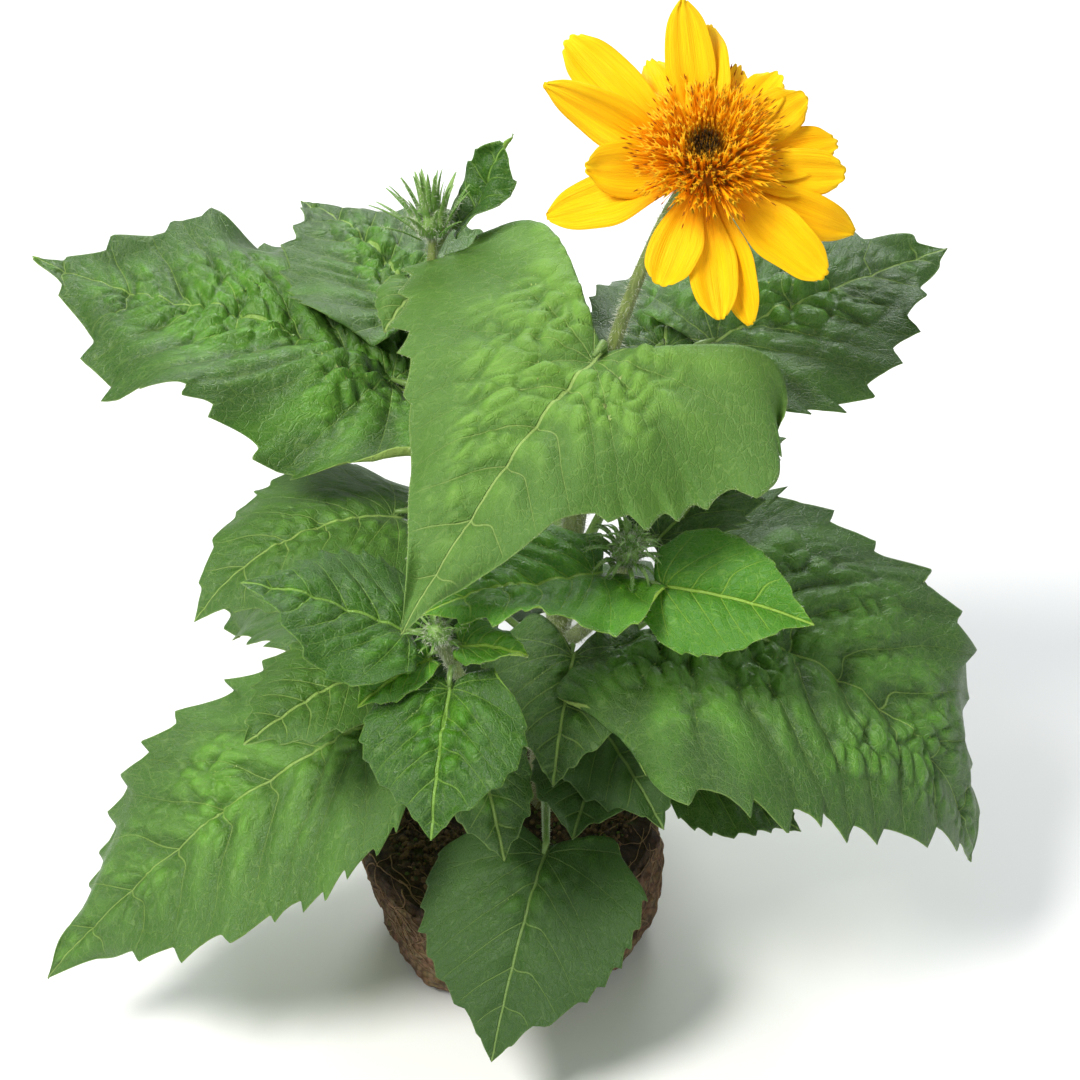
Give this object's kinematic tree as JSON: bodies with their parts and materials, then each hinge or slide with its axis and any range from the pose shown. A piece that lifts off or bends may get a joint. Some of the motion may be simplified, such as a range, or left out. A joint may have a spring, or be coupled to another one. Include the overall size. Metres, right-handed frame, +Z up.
{
  "type": "sunflower plant",
  "caption": "Dwarf sunflower plant standing on its bare root ball: toothed heart-shaped leaves, side shoots with buds, and a yellow semi-double bloom on a leaning stem.",
  "frame": {"origin": "centre of the root ball's flat underside", "axes": "+Z up along the plant, -Y towards the front, where the bloom faces, +X to the right as seen from the front"},
  "size_m": [0.3566, 0.2847, 0.3876],
  "materials": {
    "compost": "dull, crumbly and fibrous",
    "stem": "matt, ribbed and bristly",
    "mature_leaf": "satin, puckered between pale veins",
    "low_leaf": "matt, smooth and dark",
    "top_leaf": "matt and finely downy",
    "young_leaf": "glossy and bright",
    "bud": "matt and hairy",
    "ray": "satin, finely pleated",
    "disc": "matt"
  },
  "bodies": {
    "root": {"root_ball": "compost", "stem": "stem", "shoot_left": "stem", "shoot_right": "stem", "shoot_front": "stem", "leaf_top_front": "top_leaf", "leaf_left_upper": "mature_leaf", "leaf_left_back": "mature_leaf", "leaf_right_upper": "mature_leaf", "leaf_back_top": "mature_leaf", "leaf_right_low": "mature_leaf", "leaf_shoot_right": "young_leaf", "leaf_shoot_centre": "young_leaf", "leaf_shoot_back": "mature_leaf", "leaf_front_left": "young_leaf", "leaf_left_middle": "mature_leaf", "leaf_left_inner": "mature_leaf", "leaf_front_young": "young_leaf", "leaf_left_low": "mature_leaf", "leaf_front_low": "low_leaf", "leaf_front_hanging": "mature_leaf", "leaf_front_right": "low_leaf", "leaf_centre": "mature_leaf", "leaf_bud_front": "young_leaf", "leaf_bud_side": "young_leaf", "leaf_inner_left": "low_leaf", "leaf_inner_right": "low_leaf", "leaf_right_under": "mature_leaf", "leaf_left_dark": "low_leaf", "leaf_bud_curled": "top_leaf", "leaf_bud_top": "top_leaf", "leaf_back_right": "mature_leaf", "leaf_back_middle": "mature_leaf", "leaf_back_left": "mature_leaf", "leaf_back_low": "low_leaf", "leaf_side_low": "low_leaf", "bud_left": "bud", "bud_right": "bud", "bud_front": "bud", "flower_calyx": "bud", "flower_rays": "ray", "flower_disc": "disc"}
  },
  "joints": []
}
